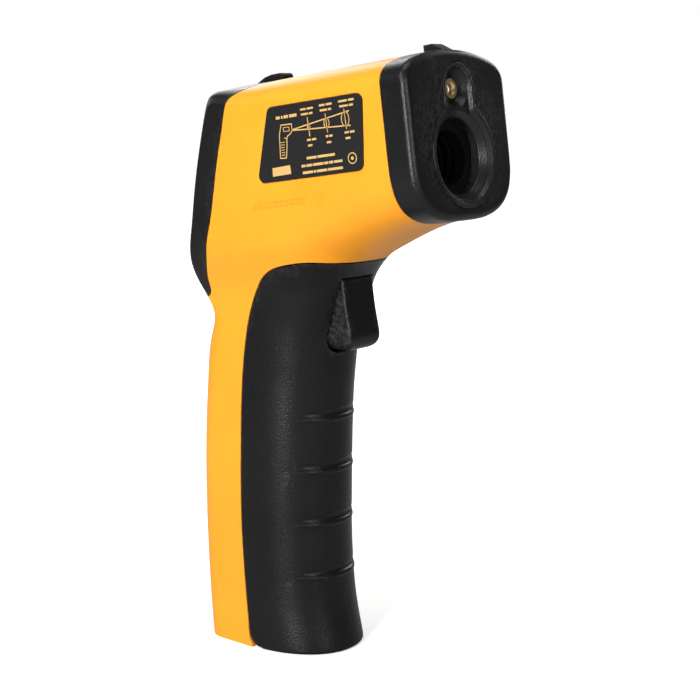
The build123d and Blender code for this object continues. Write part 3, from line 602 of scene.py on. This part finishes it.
# ---------------------------------------------------------------- display, back face frame
LCD_BOTTOM, LCD_TOP = -2.62, -2.56
DIGIT_FOOT, DIGIT_WIDTH, DIGIT_HEIGHT = 4.2, 4.9, 9.2
FAN_B = 15.9  # height of the small mark at the top right


def digit(plate, a, lit):
    """Seven-segment digit; segments run a to f clockwise from the top, g is the middle."""
    b, w, h = DIGIT_FOOT, DIGIT_WIDTH, DIGIT_HEIGHT
    t = w * 0.17  # segment thickness
    g = t * 0.22  # gap between segments
    segments = {
        "a": [(a + g, b + h), (a + w - g, b + h), (a + w - t - g, b + h - t),
              (a + t + g, b + h - t)],
        "d": [(a + t + g, b + t), (a + w - t - g, b + t), (a + w - g, b), (a + g, b)],
        "g": [(a + t + g, b + h / 2 + t / 2), (a + w - t - g, b + h / 2 + t / 2),
              (a + w - t / 2 - g, b + h / 2), (a + w - t - g, b + h / 2 - t / 2),
              (a + t + g, b + h / 2 - t / 2), (a + t / 2 + g, b + h / 2)],
        "f": [(a, b + h - g), (a + t, b + h - t - g), (a + t, b + h / 2 + t / 2 + g),
              (a, b + h / 2 + g)],
        "e": [(a, b + h / 2 - g), (a + t, b + h / 2 - t / 2 - g), (a + t, b + t + g),
              (a, b + g)],
        "b": [(a + w, b + h - g), (a + w, b + h / 2 + g), (a + w - t, b + h / 2 + t / 2 + g),
              (a + w - t, b + h - t - g)],
        "c": [(a + w, b + h / 2 - g), (a + w, b + g), (a + w - t, b + t + g),
              (a + w - t, b + h / 2 - t / 2 - g)],
    }
    for name in lit:
        plate.polygon(segments[name])


def lcd_segments():
    """The reading 25.4 with a degree ring and small marks above and below."""
    plate = Plate(back_point, LCD_BOTTOM, LCD_TOP)
    digit(plate, -10.8, "abdeg")
    digit(plate, -4.6, "afgcd")
    plate.box(1.15, 1.95, DIGIT_FOOT, 5.0)
    digit(plate, 2.8, "fgbc")
    plate.line(circle(9.6, 12.2, 0.55, 20), 0.3, closed=True)
    for start, end in ((-11.6, -7.6), (-6.6, -3.8), (8.6, 11.4)):
        plate.box(start, end, 1.0, 1.5)
    plate.line([(-11.4, 15.3), (-8.6, 15.3), (-8.6, 16.5), (-11.4, 16.5)], 0.2, closed=True)
    plate.box(-11.1, -9.6, 15.55, 16.25)
    plate.line([(8.4, FAN_B), (10.0, FAN_B)], 0.3)
    for i in (-0.5, 0.0, 0.5):
        plate.line([(10.2, FAN_B + i * 0.4), (11.4, FAN_B + i * 2.2)], 0.2)
    plate.build("lcd_segments", "lcd_segment", "housing")


lcd_segments()

# ---------------------------------------------------------------- key marks, back face frame
KEY_PITCH, KEY_B = 9.9, -10.6
KEY_BOTTOM, KEY_TOP = 0.70, 0.785


def left_mark(plate):
    """A bar with a fan of five lines."""
    plate.line([(-1.2, 0), (0.2, 0)], 0.34)
    for i in range(-2, 3):
        plate.line([(0.55, i * 0.12), (1.35, i * 0.5)], 0.2)


def center_mark(plate):
    """A ring crossed at the top by an upright bar."""
    plate.line(circle(0, 0, 1.05, 26), 0.32, closed=True)
    plate.line([(0, 0.35), (0, 1.5)], 0.34)


def right_mark(plate):
    """A ring with rays over it and a bar below."""
    plate.line(circle(0, 0.15, 0.72, 22), 0.28, closed=True)
    spokes(plate, 0, 0.15, inner=1.15, outer=1.6, count=5)
    plate.line([(-0.5, -1.15), (0.5, -1.15)], 0.28)


for key, key_a, draw in (("left", -KEY_PITCH, left_mark), ("center", 0.0, center_mark),
                         ("right", KEY_PITCH, right_mark)):
    plate = Plate(lambda a, b, h: back_point(key_a + a, KEY_B + b, h), KEY_BOTTOM, KEY_TOP)
    draw(plate)
    plate.build(f"button_{key}_mark", "label_ink", f"key_{key}_body")


# ---------------------------------------------------------------- studio
def floor_paper():
    """Grey paper for bounced light that glows to white away from the tool for the camera."""
    mat = Material("floor_paper")
    slow = mat.noise(scale=6.0, detail=2.0)
    mat.finish(Base_Color=mat.mix(slow, (0.44, 0.44, 0.44), (0.46, 0.46, 0.46)), Roughness=0.9,
               Specular_IOR_Level=0.05)
    reach = mat.combine("ShaderNodeVectorMath", mat.coords, operation="LENGTH")
    # LENGTH gives its result on the Value output
    reach = reach.node.outputs["Value"]
    far = mat.remap(reach, span=(0.15, 0.75))
    glow = mat.add("ShaderNodeEmission", Color=mat.mix(far, (0.50, 0.50, 0.50), (1.0, 1.0, 1.0)))
    paper = mat.add("ShaderNodeBsdfDiffuse",
                    Color=mat.mix(slow, (0.80, 0.80, 0.80), (0.84, 0.84, 0.84)))
    seen = mat.combine("ShaderNodeAddShader", glow.outputs[0], paper.outputs[0])
    is_camera = mat.add("ShaderNodeLightPath").outputs["Is Camera Ray"]
    shown = mat.combine("ShaderNodeMixShader", is_camera, mat.surface.outputs[0], seen)
    mat.feed(mat.tree.nodes["Material Output"].inputs["Surface"], shown)
    return mat.data


def studio_floor():
    mesh = bpy.data.meshes.new("floor")
    work = bmesh.new()
    bmesh.ops.create_circle(work, cap_ends=True, cap_tris=False, segments=96, radius=6.0)
    work.to_mesh(mesh)
    work.free()
    floor = bpy.data.objects.new("studio_floor", mesh)
    scene.collection.objects.link(floor)
    mesh.materials.append(floor_paper())


def studio_world():
    """Dim cool fill light, seen as white by the camera."""
    world = bpy.data.worlds.new("studio")
    scene.world = world
    world.use_nodes = True
    tree = world.node_tree
    fill = tree.nodes["Background"]
    fill.inputs["Color"].default_value = (0.95, 0.97, 1.0, 1)
    fill.inputs["Strength"].default_value = 0.10
    white = tree.nodes.new("ShaderNodeBackground")
    white.inputs["Strength"].default_value = 1.0
    white.inputs["Color"].default_value = (1, 1, 1, 1)
    pick = tree.nodes.new("ShaderNodeMixShader")
    is_camera = tree.nodes.new("ShaderNodeLightPath").outputs["Is Camera Ray"]
    for socket, source in zip(pick.inputs, (is_camera, fill.outputs[0], white.outputs[0])):
        tree.links.new(source, socket)
    tree.links.new(pick.outputs[0], tree.nodes["World Output"].inputs["Surface"])


# name, place, target, width, height, power in watts
LIGHTS = (
    ("key", (-0.16, -0.78, 0.68), (0.01, 0, 0.09), 0.42, 0.42, 3.6),
    ("strip", (0.22, -0.77, 0.20), (0.01, 0, 0.08), 0.040, 0.42, 5.6),
    ("front", (0.85, -0.34, 0.30), (0.03, 0, 0.10), 0.28, 0.28, 2.1),
    ("top", (0.05, 0.0, 0.95), (0, 0, 0.08), 0.55, 0.55, 2.7),
    ("edge_left", (-0.85, -0.05, 0.40), (0, 0, 0.09), 0.30, 0.30, 0.8),
    ("back", (-0.72, 0.52, 0.52), (0, 0, 0.09), 0.45, 0.45, 2.3),
    ("left", (-0.08, 0.90, 0.44), (0, 0, 0.09), 0.45, 0.45, 2.6),
)


def area_light(name, place, target, width, height, power):
    light = bpy.data.lights.new(name, "AREA")
    light.shape = "RECTANGLE"
    light.size, light.size_y = width, height
    light.energy = power
    lamp = bpy.data.objects.new(name, light)
    scene.collection.objects.link(lamp)
    lamp.location = place
    aim = Vector(target) - Vector(place)
    lamp.rotation_euler = aim.to_track_quat("-Z", "Y").to_euler()


# azimuth turns from -Y towards +X; target and distance are in metres
AZIMUTH, ELEVATION = math.radians(39), math.radians(10)
CAMERA_TARGET = Vector((0.0198, 0.0, 0.0818))
CAMERA_DISTANCE = 0.3913


def studio_camera():
    lens = bpy.data.cameras.new("camera")
    lens.sensor_width = 36.0
    lens.lens = 77.14
    lens.clip_start = 0.01
    camera = bpy.data.objects.new("camera", lens)
    scene.collection.objects.link(camera)
    away = Vector((math.sin(AZIMUTH) * math.cos(ELEVATION),
                   -math.cos(AZIMUTH) * math.cos(ELEVATION), math.sin(ELEVATION)))
    camera.location = CAMERA_TARGET + away * CAMERA_DISTANCE
    camera.rotation_euler = (-away).to_track_quat("-Z", "Y").to_euler()
    scene.camera = camera


studio_floor()
studio_world()
for row in LIGHTS:
    area_light(*row)
studio_camera()
scene.view_settings.view_transform = "Standard"
scene.view_settings.look = "None"
